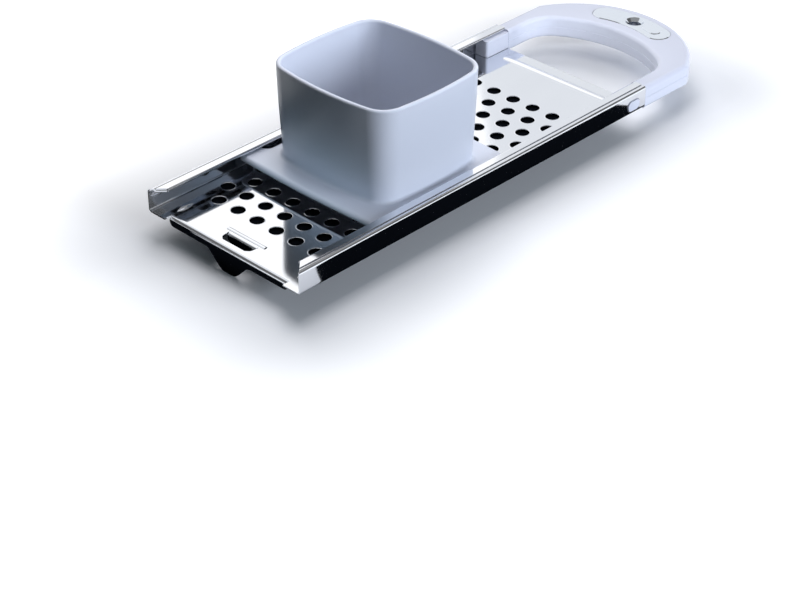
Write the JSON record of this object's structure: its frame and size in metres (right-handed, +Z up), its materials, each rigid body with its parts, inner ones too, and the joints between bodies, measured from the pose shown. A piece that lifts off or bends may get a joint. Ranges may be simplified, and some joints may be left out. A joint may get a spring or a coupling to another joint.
{
  "type": "spaetzle maker",
  "caption": "Sliding spaetzle maker: a perforated steel plate with folded rails that lies across a pot, a square sliding dough hopper and a bow handle.",
  "frame": {"origin": "under the middle of the whole tool's bounding box, at the level of the hook's lower tip", "axes": "+X along the rails towards the handle, +Y across the plate, +Z up out of the hopper"},
  "size_m": [0.3215, 0.108, 0.0752],
  "materials": {
    "steel": "polished",
    "hopper_plastic": "satin",
    "handle_plastic": "gloss",
    "inlay_metal": "polished"
  },
  "bodies": {
    "plate_and_handle": {"plate": "steel", "handle_lower_shell": "handle_plastic", "handle_upper_shell": "handle_plastic", "handle_inlay": "inlay_metal"},
    "hopper": {"hopper": "hopper_plastic"}
  },
  "joints": [
    {"name": "hopper_slide", "type": "slide", "parent": "plate_and_handle", "child": "hopper", "axis": [1, 0, 0], "range_m": [-0.047, 0.083]}
  ]
}
